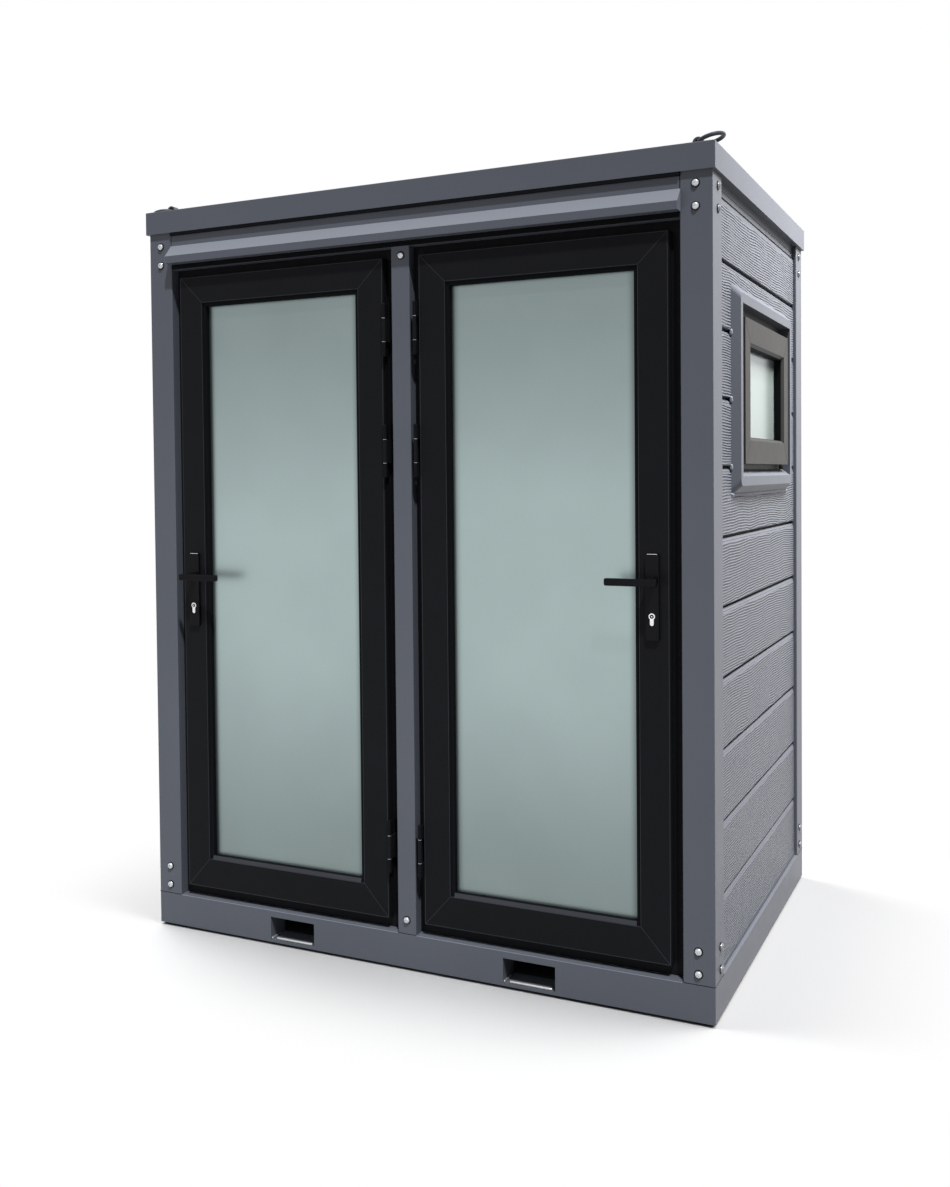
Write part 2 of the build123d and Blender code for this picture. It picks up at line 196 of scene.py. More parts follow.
def add_node(tree, kind, props=None, inputs=None):
    """Add a node, set its properties, and fill its inputs with values or links."""
    made = tree.nodes.new(kind)
    for key, value in (props or {}).items():
        setattr(made, key, value)
    for key, value in (inputs or {}).items():
        if isinstance(value, bpy.types.NodeSocket):
            tree.links.new(value, made.inputs[key])
        else:
            made.inputs[key].default_value = value
    return made


def math_node(tree, operation, first, second=0.0):
    """Output of a Math node."""
    return add_node(tree, "ShaderNodeMath", {"operation": operation}, {0: first, 1: second}).outputs[0]


def smooth_range(tree, value, from_low, from_high, to_low=0.0, to_high=1.0):
    """Output of a Map Range node with a smooth step."""
    made = add_node(tree, "ShaderNodeMapRange", {"interpolation_type": "SMOOTHSTEP"},
                    {0: value, 1: from_low, 2: from_high, 3: to_low, 4: to_high})
    return made.outputs[0]


def mix_colours(tree, share, first, second):
    """Output of a colour Mix node."""
    made = add_node(tree, "ShaderNodeMix", {"data_type": "RGBA"}, {0: share, 6: first, 7: second})
    return made.outputs[2]


def shade(colour, factor):
    """Colour with alpha, made lighter or darker."""
    return tuple(channel * factor for channel in colour[:3]) + (1.0,)


def new_material(name, **settings):
    """Material with a Principled shader whose even values are set on its own sockets."""
    material = bpy.data.materials.new(name)
    material.use_nodes = True
    tree = material.node_tree
    shader = tree.nodes["Principled BSDF"]
    for key, value in settings.items():
        shader.inputs[key.replace("_", " ")].default_value = value
    return material, tree, shader


def noise(tree, vector, scale, detail=3.0, roughness=0.5):
    """Factor output of a Noise texture."""
    made = add_node(tree, "ShaderNodeTexNoise", None,
                    {"Vector": vector, "Scale": scale, "Detail": detail, "Roughness": roughness})
    return made.outputs[0]


def stretched_noise(tree, vector, stretch, detail=2.0):
    """Noise that is drawn out along some axes."""
    mapped = add_node(tree, "ShaderNodeMapping", None, {"Vector": vector, "Scale": stretch}).outputs[0]
    return noise(tree, mapped, scale=1.0, detail=detail)


def object_place(tree):
    """Object coordinates, which are the frame's own metres here."""
    return add_node(tree, "ShaderNodeTexCoord").outputs["Object"]


def add_bump(tree, shader, height, distance, strength=1.0):
    """Feed a height into the shader's normal."""
    bump = add_node(tree, "ShaderNodeBump", None,
                    {"Strength": strength, "Distance": distance, "Height": height})
    tree.links.new(bump.outputs[0], shader.inputs["Normal"])


# Helpers for meshes and pieces

def make_piece(name, bm, materials, body, sharp_angle=None):
    """Turn a bmesh into a piece that rides on a body."""
    bmesh.ops.recalc_face_normals(bm, faces=bm.faces)
    mesh = bpy.data.meshes.new(name)
    bm.to_mesh(mesh)
    bm.free()
    for material in materials:
        mesh.materials.append(material)
    if sharp_angle is not None:
        mesh.polygons.foreach_set("use_smooth", [True] * len(mesh.polygons))
        mesh.set_sharp_from_angle(angle=math.radians(sharp_angle))
    piece = bpy.data.objects.new(name, mesh)
    bpy.context.collection.objects.link(piece)
    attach(piece, body)
    return piece


def lathe(bm, origin, axis, profile, segments=24, hex_from=None):
    """Turn (radius, height) pairs about an axis; rings from hex_from on are six-sided."""
    turn = axis.to_track_quat("Z", "Y").to_matrix()
    rings = []
    for index, (radius, height) in enumerate(profile):
        if radius == 0:
            rings.append([bm.verts.new(origin + turn @ Vector((0, 0, height)))])
            continue
        ring = []
        for step in range(segments):
            angle = 2 * math.pi * step / segments
            reach = radius
            if hex_from is not None and index >= hex_from:
                sector = angle % (math.pi / 3) - math.pi / 6
                reach = radius * math.cos(math.pi / 6) / math.cos(sector)
            across = Vector((reach * math.cos(angle), reach * math.sin(angle), height))
            ring.append(bm.verts.new(origin + turn @ across))
        rings.append(ring)
    for lower, upper in zip(rings, rings[1:]):
        for step in range(segments):
            following = (step + 1) % segments
            corners = [lower[step], lower[following]] if len(lower) > 1 else [lower[0]]
            corners += [upper[following], upper[step]] if len(upper) > 1 else [upper[0]]
            bm.faces.new(corners)
    for ring in (rings[0], rings[-1]):
        if len(ring) > 1:
            bm.faces.new(ring)


def dome_points(radius, count=4):
    """Quarter circle from a pole to the rim, as (radius, height) pairs."""
    angles = [math.pi / 2 * step / count for step in range(count + 1)]
    return [(radius * math.sin(angle), radius * (1 - math.cos(angle))) for angle in angles]


def rod(bm, start, end, radius, segments=16):
    """Round bar with domed ends."""
    length = (end - start).length
    near = dome_points(radius)
    far = [(reach, length - height) for reach, height in reversed(near)]
    lathe(bm, start, (end - start).normalized(), near + far, segments)


def loft(bm, loops):
    """Skin closed loops of points in order, with flat ends."""
    rings = [[bm.verts.new(point) for point in loop] for loop in loops]
    for lower, upper in zip(rings, rings[1:]):
        for k in range(len(lower)):
            j = (k + 1) % len(lower)
            bm.faces.new((lower[k], lower[j], upper[j], upper[k]))
    bm.faces.new(rings[0])
    bm.faces.new(rings[-1])


def prism(bm, outline, place, start, end):
    """Extrude a closed outline of (p, q) points from start to end; place maps (p, q, t) to space."""
    loft(bm, [[place(p, q, t) for p, q in outline] for t in (start, end)])


def rectangle(low_p, low_q, high_p, high_q):
    """Corners of a rectangle, as (p, q) points in order."""
    return [(low_p, low_q), (high_p, low_q), (high_p, high_q), (low_p, high_q)]


def rounded_outline(low, high, radius, steps=4):
    """Rectangle with round corners, as (p, q) points in order."""
    points = []
    for corner, (side_p, side_q) in enumerate(((-1, -1), (1, -1), (1, 1), (-1, 1))):
        centre_p = (low[0] if side_p < 0 else high[0]) - side_p * radius
        centre_q = (low[1] if side_q < 0 else high[1]) - side_q * radius
        for step in range(steps + 1):
            angle = math.pi + (corner + step / steps) * math.pi / 2
            points.append((centre_p + radius * math.cos(angle), centre_q + radius * math.sin(angle)))
    return points


def pillow(bm, place, low, high, corner, start, end, edge):
    """Plate with round corners and a softened edge at its end face."""
    loops = []
    bevel = SILL_BEVEL_SHARE * edge
    for inset, rise in ((0.0, start), (0.0, end - edge), (bevel, end - bevel), (edge, end)):
        inner_low = (low[0] + inset, low[1] + inset)
        inner_high = (high[0] - inset, high[1] - inset)
        outline = rounded_outline(inner_low, inner_high, corner - inset)
        loops.append([place(p, q, rise) for p, q in outline])
    loft(bm, loops)


def swept_frame(bm, place, low, high, profile):
    """Sweep a closed profile of (inset, rise) points round a rectangle, with mitred corners."""
    loops = []
    for inset, rise in profile:
        corners = rectangle(low[0] + inset, low[1] + inset, high[0] - inset, high[1] - inset)
        loops.append([bm.verts.new(place(a, b, rise)) for a, b in corners])
    for loop, following in zip(loops, loops[1:] + loops[:1]):
        for k in range(4):
            j = (k + 1) % 4
            bm.faces.new((loop[k], loop[j], following[j], following[k]))


def front_place(y, sign=-1):
    """Map (x, z, rise) to space on a plane that looks to the front, or to the back with sign 1."""
    return lambda a, b, rise: Vector((a, y + sign * rise, b))


def side_place(x, sign):
    """Map (y, z, rise) to space on a plane that looks out of a side."""
    return lambda a, b, rise: Vector((x + sign * rise, a, b))


# Materials

SLATE = (0.122, 0.129, 0.152, 1.0)
BLACK = (0.0095, 0.0098, 0.0112, 1.0)
WARM_GREY = (0.042, 0.041, 0.040, 1.0)
DOOR_GLASS = (0.375, 0.46, 0.455, 1.0)
WINDOW_GLASS = (0.41, 0.48, 0.467, 1.0)
PAINT_GLOSS = 0.2
SPECK_GAIN = 2.4
SPECK_SHARE = 0.25
# Pale slate for painted light on the canopy's slope and ends, and the width of its blend
PAINTED_CANOPY_LIGHT = (0.29, 0.30, 0.335, 1.0)
PAINTED_LIGHT_BLEND = 0.001
# Painted light and shade of the panes: the evenly bright middle share, the darkening at the rims, and the
# rim widths
EVEN_GLASS_SHARE = 0.15
RIM_SHADE_GAIN = 0.45
DOOR_RIM_SHADE = 0.030
WINDOW_RIM_SHADE = 0.008
BARE_METAL = (0.42, 0.42, 0.43, 1.0)

# Span that most values of a noise texture lie in
NOISE_LOW = 0.3
NOISE_HIGH = 0.7


def canopy_painted_light(tree, place):
    """Share of painted light on the rain canopy: all of its slope, lighter as if it faced the sky, and
    its two ends, lighter as if lit from the side.
    """
    split = add_node(tree, "ShaderNodeSeparateXYZ", None, {0: place})
    slope = smooth_range(tree, split.outputs["Z"], CANOPY_TIP, CANOPY_TIP + PAINTED_LIGHT_BLEND)
    across = math_node(tree, "ABSOLUTE", split.outputs["X"])
    ends = smooth_range(tree, across, CANOPY_END - PAINTED_LIGHT_BLEND, CANOPY_END)
    return math_node(tree, "MAXIMUM", slope, ends)


def slate_paint(name, painted_light=None):
    """Satin slate paint on sheet steel, with faint clouds, orange peel, specks and, if given, painted
    light on some of its faces.
    """
    material, tree, shader = new_material(name, Specular_IOR_Level=PAINT_GLOSS)
    place = object_place(tree)
    clouds = noise(tree, place, scale=2.5, detail=4.0)
    colour = mix_colours(tree, clouds, shade(SLATE, 0.92), shade(SLATE, 1.08))
    if painted_light is not None:
        # Painted light: the marked faces turn pale slate
        colour = mix_colours(tree, painted_light(tree, place), colour, PAINTED_CANOPY_LIGHT)
    dots = noise(tree, place, scale=260.0, detail=2.0)
    specks = smooth_range(tree, dots, from_low=0.73, from_high=0.80, to_high=SPECK_SHARE)
    speckled = mix_colours(tree, specks, colour, shade(SLATE, SPECK_GAIN))
    tree.links.new(speckled, shader.inputs["Base Color"])
    patches = noise(tree, place, scale=14.0, detail=5.0)
    gloss = smooth_range(tree, patches, NOISE_LOW, NOISE_HIGH, to_low=0.39, to_high=0.41)
    tree.links.new(gloss, shader.inputs["Roughness"])
    add_bump(tree, shader, noise(tree, place, scale=420.0, detail=2.0), distance=0.0004, strength=0.04)
    return material


def groove_height(row):
    """Height of the groove above a board, counted from the top."""
    return GROOVE_TOP - GROOVE_PITCH * row - GROOVE_GROWTH * row ** 2


def board_paint(name, run_axis):
    """Slate boards with an embossed wood grain that runs along the wall, painted darker in the grain's
    valleys as painted shade and lighter on its ridges as painted highlight.
    """
    material, tree, shader = new_material(name, Specular_IOR_Level=PAINT_GLOSS, Roughness=0.40)
    split = add_node(tree, "ShaderNodeSeparateXYZ", None, {0: object_place(tree)})
    height = split.outputs["Z"]
    board = 0.0
    for row in range(GROOVE_COUNT):
        above = math_node(tree, "GREATER_THAN", height, groove_height(row))
        board = math_node(tree, "ADD", above, board)
    shift = math_node(tree, "MULTIPLY", board, GRAIN_SHIFT)
    run = math_node(tree, "ADD", split.outputs[run_axis], shift)
    place = add_node(tree, "ShaderNodeCombineXYZ", None, {0: run, 1: shift, 2: height}).outputs[0]

    # Long swirls and short waves bend the lines, and they fade in and out along their length
    long_noise = stretched_noise(tree, place, stretch=(2.6, 1.0, 3.0))
    swirl = math_node(tree, "MULTIPLY", long_noise, SWIRL_REACH)
    short_noise = stretched_noise(tree, place, stretch=(14.0, 1.0, 20.0))
    waves = math_node(tree, "MULTIPLY", short_noise, WAVE_REACH)
    bent = math_node(tree, "ADD", height, math_node(tree, "ADD", swirl, waves))
    lines = math_node(tree, "SINE", math_node(tree, "MULTIPLY", bent, 2 * math.pi / GRAIN_PITCH))
    streaks = stretched_noise(tree, place, stretch=(12.0, 1.0, 60.0))
    fading = smooth_range(tree, streaks, from_low=0.32, from_high=0.60, to_low=0.3)
    relief = math_node(tree, "MULTIPLY", lines, fading)
    add_bump(tree, shader, relief, GRAIN_HEIGHT)
    # Painted shade and highlight: the grain's colour follows its relief, darker in the valleys and
    # lighter on the ridges
    relief_shade_share = smooth_range(tree, relief, from_low=-0.9, from_high=0.9)
    toned = mix_colours(tree, relief_shade_share, shade(SLATE, 0.60), shade(SLATE, 1.38))
    tree.links.new(toned, shader.inputs["Base Color"])
    return material


def fine_profile(name, colour, roughness, specular, spread=0.05):
    """Powder-coated profile with a fine grain."""
    material, tree, shader = new_material(name, Specular_IOR_Level=specular)
    place = object_place(tree)
    clouds = noise(tree, place, scale=6.0, detail=4.0)
    toned = mix_colours(tree, clouds, shade(colour, 0.85), shade(colour, 1.15))
    tree.links.new(toned, shader.inputs["Base Color"])
    patches = noise(tree, place, scale=30.0, detail=4.0)
    gloss = smooth_range(tree, patches, NOISE_LOW, NOISE_HIGH, roughness - spread, roughness + spread)
    tree.links.new(gloss, shader.inputs["Roughness"])
    add_bump(tree, shader, noise(tree, place, scale=900.0, detail=2.0), distance=0.0003, strength=0.05)
    return material


def edge_distances(tree, split, low, high):
    """Distances of a point from the two upright edges of a pane."""
    axis = 0 if high.x - low.x > high.y - low.y else 1
    along = split.outputs[axis]
    return math_node(tree, "SUBTRACT", along, low[axis]), math_node(tree, "SUBTRACT", high[axis], along)


def frosted_glass(name, node, colour, end_shade_gain, mirror, roughness, rim_shade_width):
    """Satin privacy pane that mirrors its surroundings softly, with painted light that is brightest in
    its middle and falls to painted shade towards its head and foot and along its upright edges.
    """
    low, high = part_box(node)
    middle = (low.z + high.z) / 2
    half = (high.z - low.z) / 2
    material, tree, shader = new_material(name, Metallic=mirror, Roughness=roughness)
    place = object_place(tree)
    split = add_node(tree, "ShaderNodeSeparateXYZ", None, {0: place})
    height = split.outputs["Z"]
    off_middle = math_node(tree, "ABSOLUTE", math_node(tree, "SUBTRACT", height, middle))
    # Painted light: the pane is brightest in its middle and darker towards its head and foot
    painted_glow = smooth_range(tree, off_middle, EVEN_GLASS_SHARE * half, half, 1.0, end_shade_gain)
    clouds = noise(tree, place, scale=3.0)
    cloud = smooth_range(tree, clouds, NOISE_LOW, NOISE_HIGH, to_low=0.97, to_high=1.03)
    # Painted shade: darker towards the pane's upright edges
    inward = math_node(tree, "MINIMUM", *edge_distances(tree, split, low, high))
    rim = smooth_range(tree, inward, 0.0, rim_shade_width, RIM_SHADE_GAIN, 1.0)
    gain = math_node(tree, "MULTIPLY", math_node(tree, "MULTIPLY", painted_glow, cloud), rim)
    toned = add_node(tree, "ShaderNodeVectorMath", {"operation": "SCALE"}, {0: colour[:3], "Scale": gain})
    tree.links.new(toned.outputs[0], shader.inputs["Base Color"])
    add_bump(tree, shader, noise(tree, place, scale=700.0, detail=2.0), distance=0.0002, strength=0.1)
    return material


def bare_steel(name, colour, metallic, roughness):
    """Plated or bare steel with fine marks."""
    material, tree, shader = new_material(name, Metallic=metallic)
    place = object_place(tree)
    marks = noise(tree, place, scale=90.0, detail=6.0, roughness=0.7)
    toned = mix_colours(tree, marks, shade(colour, 0.8), shade(colour, 1.1))
    tree.links.new(toned, shader.inputs["Base Color"])
    gloss = smooth_range(tree, marks, NOISE_LOW, NOISE_HIGH, roughness - 0.06, roughness + 0.08)
    tree.links.new(gloss, shader.inputs["Roughness"])
    add_bump(tree, shader, noise(tree, place, scale=600.0), distance=0.0002, strength=0.2)
    return material


def worn_paint(name, colour, wear):
    """Dark painted steel, rubbed through to metal in patches."""
    material, tree, shader = new_material(name, Specular_IOR_Level=0.3)
    place = object_place(tree)
    marks = noise(tree, place, scale=45.0, detail=6.0, roughness=0.65)
    patches = smooth_range(tree, marks, from_low=0.62 - wear, from_high=0.72 - wear)
    rubbed = mix_colours(tree, patches, colour, BARE_METAL)
    tree.links.new(rubbed, shader.inputs["Base Color"])
    tree.links.new(patches, shader.inputs["Metallic"])
    gloss = smooth_range(tree, patches, 0.0, 1.0, to_low=0.45, to_high=0.3)
    tree.links.new(gloss, shader.inputs["Roughness"])
    add_bump(tree, shader, noise(tree, place, scale=220.0, detail=4.0), distance=0.0006, strength=0.3)
    return material


def sheet_floor():
    """Grey sheet floor with fine flecks."""
    material, tree, shader = new_material("sheet_floor", Roughness=0.5, Specular_IOR_Level=0.4)
    flecks = noise(tree, object_place(tree), scale=350.0, roughness=0.7)
    speckled = mix_colours(tree, flecks, (0.12, 0.12, 0.12, 1.0), (0.3, 0.3, 0.3, 1.0))
    tree.links.new(speckled, shader.inputs["Base Color"])
    add_bump(tree, shader, flecks, distance=0.0003, strength=0.2)
    return material


def pale_lining():
    """Pale coated sheet inside the cabin."""
    material, tree, shader = new_material("pale_lining", Roughness=0.42, Specular_IOR_Level=0.4)
    place = object_place(tree)
    clouds = noise(tree, place, scale=3.0, detail=4.0)
    pale = mix_colours(tree, clouds, (0.66, 0.66, 0.65, 1.0), (0.74, 0.74, 0.73, 1.0))
    tree.links.new(pale, shader.inputs["Base Color"])
    add_bump(tree, shader, noise(tree, place, scale=300.0, detail=2.0), distance=0.0003, strength=0.1)
    return material


paint = slate_paint("slate_paint")
# The canopy's paint has painted light on its slope and ends
canopy_lit_paint = slate_paint("canopy_lit_paint", canopy_painted_light)
side_grain = board_paint("side_boards", "Y")
rear_grain = board_paint("rear_boards", "X")
door_black = fine_profile("door_black", BLACK, roughness=0.5, specular=0.06)
handle_black = fine_profile("handle_black", shade(BLACK, 0.6), roughness=0.22, specular=0.09)
hinge_black = fine_profile("hinge_black", shade(BLACK, 0.7), roughness=0.4, specular=0.05)
window_grey = fine_profile("window_grey", WARM_GREY, roughness=0.45, specular=0.11, spread=0.01)
rubber = fine_profile("rubber", shade(BLACK, 0.5), roughness=0.6, specular=0.05)
# Pale slate for caulk beads that are partly painted highlight, and for painted highlights on the sill
# edges
sealant_and_highlight = fine_profile("sealant_and_highlight", shade(SLATE, SPECK_GAIN), roughness=0.5, specular=0.3)
plated = bare_steel("plated_steel", (0.95, 0.96, 0.97, 1.0), metallic=0.75, roughness=0.24)
# Bolt zinc in a lighter copy for the front and a darker copy for the sides and back, which is painted
# shade
zinc = bare_steel("zinc_bolts", (0.66, 0.675, 0.70, 1.0), metallic=0.65, roughness=0.18)
side_zinc_shaded = bare_steel("side_zinc_shaded", (0.30, 0.303, 0.306, 1.0), metallic=0.55, roughness=0.22)
worn_steel = bare_steel("worn_steel", (0.62, 0.61, 0.60, 1.0), metallic=0.7, roughness=0.34)
ring_paint = worn_paint("ring_paint", (0.055, 0.058, 0.066, 1.0), wear=-0.06)
pocket_paint = worn_paint("pocket_paint", (0.012, 0.012, 0.013, 1.0), wear=-0.1)
underside = fine_profile("underside", shade(BLACK, 0.8), roughness=0.7, specular=0.05)
# Pale grey for painted highlights on the sash joints and edges
mitre_highlight_grey = fine_profile("mitre_highlight_grey", shade(BLACK, 5.0), roughness=0.5, specular=0.1)
ledge_grey = fine_profile("ledge_grey", shade(BLACK, 4.6), roughness=0.5, specular=0.1)
mitre_dark = fine_profile("mitre_dark", (0.012, 0.012, 0.012, 1.0), roughness=0.5, specular=0.1)
# Near-black slate: painted shade on the backs of the grooves
groove_shade = fine_profile("groove_shade", shade(SLATE, 0.22), roughness=0.6, specular=0.05)
flashing_paint = fine_profile("flashing_paint", shade(SLATE, 0.8), roughness=0.45, specular=0.12,
                              spread=0.01)
flooring = sheet_floor()
lining = pale_lining()

FINISHES = {
    "frame_paint": paint, "wall_boards": paint, "door_black": door_black, "window_frame": window_grey,
    "handle_black": handle_black, "hinge_black": hinge_black, "lock_steel": plated,
    "ring_steel": ring_paint, "pocket_steel": pocket_paint, "underside": underside,
    "floor": flooring, "lining": lining,
}


def dress_nodes():
    """Give every solid the finish of its slot; the canopy, whose paint carries painted light, and each
    pane have their own.
    """
    slots = {part["node"]: part["material_slot"] for part in frame["record"]["subparts"]}
    for name, solid in frame["nodes"].items():
        if name == "rain_canopy":
            finish = canopy_lit_paint
        elif slots[name] != "frosted_glass":
            finish = FINISHES[slots[name]]
        elif "window" in name:
            finish = frosted_glass(f"{name}_glass", name, WINDOW_GLASS, end_shade_gain=0.95, mirror=0.45,
                                   roughness=0.2, rim_shade_width=WINDOW_RIM_SHADE)
        else:
            finish = frosted_glass(f"{name}_glass", name, DOOR_GLASS, end_shade_gain=0.62, mirror=0.9,
                                   roughness=0.34, rim_shade_width=DOOR_RIM_SHADE)
        solid.data.materials.clear()
        solid.data.materials.append(finish)


# Boarded walls

GRAIN_SLOT, LINING_SLOT, PLAIN_SLOT, GROOVE_SHADE_SLOT = range(4)
FACING = 0.9
EDGE_FACING = 0.5
BAND_TILT = 0.03
GROOVE_BACK_SHARE = 0.9


def board_outline(bottom, top, thickness):
    """Section of a boarded wall as (depth, height) points, outer face at depth 0."""
    points = [(thickness, bottom), (0.0, bottom)]
    for row in reversed(range(GROOVE_COUNT)):
        low = groove_height(row) - GROOVE_GAP / 2
        high = groove_height(row) + GROOVE_GAP / 2
        points.append((0.0, low - BAND_HEIGHT))
        points += [(deep * BAND_DEPTH, low - tall * BAND_HEIGHT) for deep, tall in BAND_STEP_SHARES]
        points += [(BAND_DEPTH, low), (GROOVE_DEPTH, low), (GROOVE_DEPTH, high)]
        points += [(BOARD_ROUND, high), (0.0, high + BOARD_ROUND)]
    points += [(0.0, top - BAND_HEIGHT), (BOARD_ROUND, top), (thickness, top)]
    return points


def cut_hole(bm, low, high):
    """Cut a box out of a bmesh and return the new bmesh."""
    block = bmesh.new()
    span = Matrix.LocRotScale((low + high) / 2, None, high - low)
    bmesh.ops.create_cube(block, size=1.0, matrix=span)
    meshes = []
    for source in (bm, block):
        bmesh.ops.recalc_face_normals(source, faces=source.faces)
        mesh = bpy.data.meshes.new("cut_source")
        source.to_mesh(mesh)
        source.free()
        meshes.append(mesh)
    solid, cutter = (bpy.data.objects.new("cut_source", mesh) for mesh in meshes)
    bpy.context.collection.objects.link(solid)
    bpy.context.collection.objects.link(cutter)
    boolean = solid.modifiers.new("hole", "BOOLEAN")
    boolean.operation = "DIFFERENCE"
    boolean.object = cutter
    bpy.context.view_layer.update()
    result = bmesh.new()
    result.from_object(solid, bpy.context.evaluated_depsgraph_get())
    for leftover in (solid, cutter):
        bpy.data.objects.remove(leftover)
    for mesh in meshes:
        bpy.data.meshes.remove(mesh)
    return result


def finish_boards(bm, outward, plane):
    """Grain on the boards, lining inside, plain paint on bands and edges, and painted shade on the backs
    of the grooves.
    """
    bmesh.ops.recalc_face_normals(bm, faces=bm.faces)
    for face in bm.faces:
        depth = abs(plane) - face.calc_center_median().dot(outward)
        facing = face.normal.dot(outward)
        if facing < -FACING:
            face.material_index = LINING_SLOT
        elif facing > FACING and depth > GROOVE_BACK_SHARE * GROOVE_DEPTH:
            face.material_index = GROOVE_SHADE_SLOT
        elif abs(face.normal.z) > BAND_TILT or facing < EDGE_FACING:
            face.material_index = PLAIN_SLOT
        else:
            face.material_index = GRAIN_SLOT


def wall_places():
    """Each wall's name, outward direction, outer plane, box, and the start and end of its run."""
    places = []
    for name, sign in SIDES:
        low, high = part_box(f"{name}_wall")
        face = high.x if sign > 0 else low.x
        places.append((name, Vector((sign, 0, 0)), face, low, high, low.y, high.y))
    low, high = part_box("rear_wall")
    places.append(("rear", Vector((0, 1, 0)), high.y, low, high, low.x, high.x))
    return places


def wall_place(outward, face):
    """Map (depth behind the outer plane, height, run) to space on a wall."""
    if outward.x:
        return lambda depth, height, run: Vector((face - outward.x * depth, run, height))
    return lambda depth, height, run: Vector((run, face - depth, height))


def make_walls():
    """Boarded walls with a plain lining inside, in place of the plain slabs."""
    for name, outward, face, low, high, start, end in wall_places():
        place = wall_place(outward, face)
        thickness = high.x - low.x if outward.x else high.y - low.y
        first = start if outward.x else start + BOARD_END_GAP
        bm = bmesh.new()
        prism(bm, board_outline(low.z, high.z, thickness), place, first, end - BOARD_END_GAP)
        if outward.x:
            hole_low, hole_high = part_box(f"{name}_window_frame")
            cut_low = Vector((low.x - CUT_OVERRUN, hole_low.y, hole_low.z))
            cut_high = Vector((high.x + CUT_OVERRUN, hole_high.y, hole_high.z))
            bm = cut_hole(bm, cut_low, cut_high)
        finish_boards(bm, outward, face)
        grain = side_grain if outward.x else rear_grain
        finishes = (grain, lining, paint, groove_shade)
        piece = make_piece(f"{name}_boards", bm, finishes, "cabin")
        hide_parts(f"{name}_wall")

        joints = [(end - BOARD_END_GAP, end)]
        if not outward.x:
            joints.append((start, first))
        bm = bmesh.new()
        strip = rectangle(GROOVE_DEPTH, low.z, thickness, high.z)
        for joint_start, joint_end in joints:
            prism(bm, strip, place, joint_start, joint_end)
        make_piece(f"{name}_board_joints", bm, (rubber,), "cabin")


def make_wall_trims():
    """Flashing at the foot of each wall, and the rib and gasket along the rail above it."""
    rail_low, rail_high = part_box("top_rails")
    flashings = bmesh.new()
    ribs = bmesh.new()
    gaskets = bmesh.new()
    for _, outward, face, low, _, start, end in wall_places():
        place = wall_place(outward, face)
        foot = low.z
        flashing = [(0.0, foot), (-FLASHING_REACH, foot), (-FLASHING_REACH, foot + FLASHING_HEIGHT),
                    (0.0, foot + FLASHING_HEIGHT + FLASHING_REACH)]
        prism(flashings, flashing, place, start, end)
        facing = outward.x + outward.y
        rail_corner = rail_high if facing > 0 else rail_low
        rail = facing * face - rail_corner.dot(outward)
        rise = rail_low.z + RIB_RISE
        rib = [(rail, rise), (rail - RIB_REACH, rise), (rail - RIB_REACH, rise + RIB_HEIGHT),
               (rail, rise + RIB_HEIGHT + RIB_REACH)]
        prism(ribs, rib, place, start, end)
        gasket = [(rail, rail_low.z), (rail / 2, rail_low.z), (rail / 2, rail_low.z + RAIL_GASKET / 2),
                  (rail, rail_low.z + RAIL_GASKET)]
        prism(gaskets, gasket, place, start, end)
    make_piece("wall_flashings", flashings, (flashing_paint,), "cabin")
    make_piece("rail_ribs", ribs, (paint,), "cabin")
    make_piece("rail_gaskets", gaskets, (rubber,), "cabin")


# Bolts

def make_bolts():
    """Bolts on the posts at each corner, and on the middle post."""
    profile = [(wide * BOLT_RADIUS, tall * BOLT_RADIUS) for wide, tall in BOLT_PROFILE_SHARES]
    heights = [BASE_TOP + rise for rise in BOLT_RISES] + [ROOF_BOTTOM - drop for drop in BOLT_DROPS]
    across = SIDE - BOLT_FROM_SIDE
    along = -FRONT - BOLT_FROM_FRONT
    lowered = heights[:2] + [height - LEFT_BOLT_LOWERING for height in heights[2:]]
    front = [(across, FRONT, z) for z in heights] + [(-across, FRONT, z) for z in lowered]
    front.append((0, FRONT, BASE_TOP + MULLION_BOLT_RISE))
    front.append((MULLION_BOLT_SHIFT, FRONT, LINTEL_BOTTOM - MULLION_BOLT_DROP))
    groups = {
        "front_bolts": (Vector((0, -1, 0)), front),
        "rear_bolts": (Vector((0, 1, 0)), [(s * across, REAR, z) for s in (-1, 1) for z in heights]),
        "right_bolts": (Vector((1, 0, 0)), [(SIDE, s * along, z) for s in (-1, 1) for z in heights]),
        "left_bolts": (Vector((-1, 0, 0)), [(-SIDE, s * along, z) for s in (-1, 1) for z in heights]),
    }
    for name, (axis, places) in groups.items():
        bm = bmesh.new()
        for place in places:
            lathe(bm, Vector(place), axis, profile, hex_from=BOLT_SOCKET_RING)
        seat = Vector(places[0]).dot(axis)
        # Washer rings take dark rubber, which also serves as painted shade round each head
        for face in bm.faces:
            if face.calc_center_median().dot(axis) - seat < BOLT_WASHER_RISE:
                face.material_index = 1
        # Front bolts take the lighter zinc; the others take the darker copy, which is painted shade
        steel = zinc if name == "front_bolts" else side_zinc_shaded
        make_piece(name, bm, (steel, rubber), "cabin", sharp_angle=40)


# Door dressing

def mitre_bars(bm, place, outer_low, outer_high, inner_low, inner_high):
    """Fine raised joints from the inner to the outer corners of a frame."""
    inner_corners = rectangle(*inner_low, *inner_high)
    outer_corners = rectangle(*outer_low, *outer_high)
    for inner, outer in zip(map(Vector, inner_corners), map(Vector, outer_corners)):
        across = (outer - inner).orthogonal().normalized() * MITRE_WIDTH / 2
        outline = [inner + across, outer + across, outer - across, inner - across]
        prism(bm, outline, place, 0.0, MITRE_RISE)


def gasket_profile(rise, lean):
    """Round-edged seal on a pane that leans back against its bead."""
    crown = [(inset * GASKET, rise - drop * GASKET) for inset, drop in GASKET_CROWN_SHARES]
    return [(0.0, 0.0), (GASKET, 0.0)] + crown + [(0.0, rise), (-lean, rise)]


